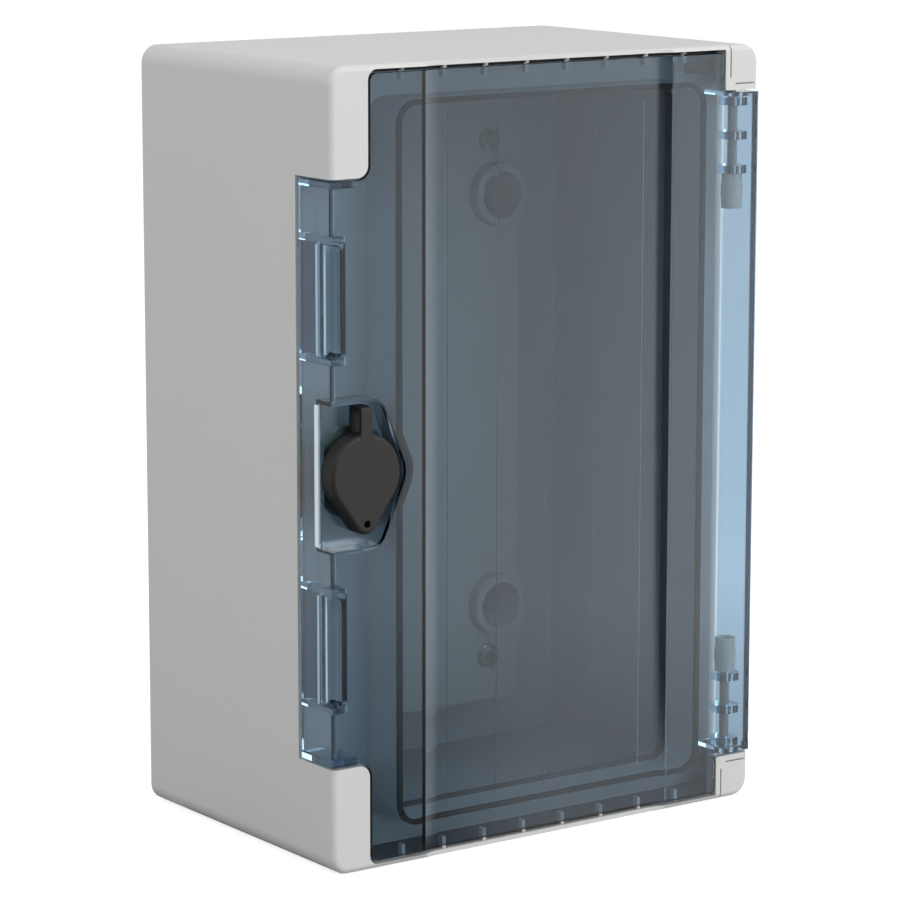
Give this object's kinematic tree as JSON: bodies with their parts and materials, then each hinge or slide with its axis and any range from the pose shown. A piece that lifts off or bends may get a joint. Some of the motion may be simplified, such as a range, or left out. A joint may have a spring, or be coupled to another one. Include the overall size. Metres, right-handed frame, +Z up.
{
  "type": "electrical cabinet",
  "caption": "Wall-mounted plastic electrical cabinet with a clear hinged door, a quarter-turn lock under a rubber dust cover, pull-out hinge pins, a sealed collar and an inner mounting plate.",
  "frame": {"origin": "middle of the base, under the centre of the closed cabinet", "axes": "+X to the right as seen from the front, +Y towards the wall, +Z up"},
  "size_m": [0.2, 0.13, 0.3],
  "materials": {
    "casing_plastic": "fine satin moulded light grey",
    "frame_plastic": "satin moulded light grey",
    "plate_laminate": "matt insulating laminate",
    "clear_plastic": "clear smoke-blue moulding, polished",
    "gasket_rubber": "soft foam, dark brown-black",
    "pin_plastic": "satin moulded mid grey",
    "cover_rubber": "matt black",
    "zinc_diecast": "satin zinc casting",
    "zinc_steel": "bright zinc plate",
    "brass": "turned brass"
  },
  "bodies": {
    "cabinet": {"casing": "casing_plastic", "sealing_frame": "frame_plastic", "mounting_plate": "plate_laminate", "plate_inserts": "brass", "plate_washers": "zinc_steel", "plate_screws": "zinc_steel"},
    "door": {"door_panel": "clear_plastic", "door_gasket": "gasket_rubber", "lock_body": "zinc_diecast", "lock_nut": "zinc_steel", "lock_cover_tether": "cover_rubber"},
    "lock_bolt": {"lock_spindle": "zinc_diecast", "lock_cam": "zinc_steel", "cam_washer": "zinc_steel", "cam_screw": "zinc_steel"},
    "dust_cover": {"lock_cover": "cover_rubber"},
    "top_pin": {"hinge_pin_top": "pin_plastic"},
    "bottom_pin": {"hinge_pin_bottom": "pin_plastic"}
  },
  "joints": [
    {"name": "door_hinge", "type": "hinge", "parent": "cabinet", "child": "door", "pos_m": [0.0928, -0.057, 0.15], "axis": [0, 0, 1], "range_deg": [0, 130]},
    {"name": "lock_turn", "type": "hinge", "parent": "door", "child": "lock_bolt", "pos_m": [-0.0838, -0.05, 0.15], "axis": [0, 1, 0], "range_deg": [0, 90]},
    {"name": "cover_flip", "type": "hinge", "parent": "door", "child": "dust_cover", "pos_m": [-0.0838, -0.0635, 0.1745], "axis": [-1, 0, 0], "range_deg": [0, 110]},
    {"name": "top_pin_pull", "type": "slide", "parent": "door", "child": "top_pin", "axis": [0, 0, -1], "range_m": [0, 0.012]},
    {"name": "bottom_pin_pull", "type": "slide", "parent": "door", "child": "bottom_pin", "axis": [0, 0, 1], "range_m": [0, 0.012]}
  ]
}
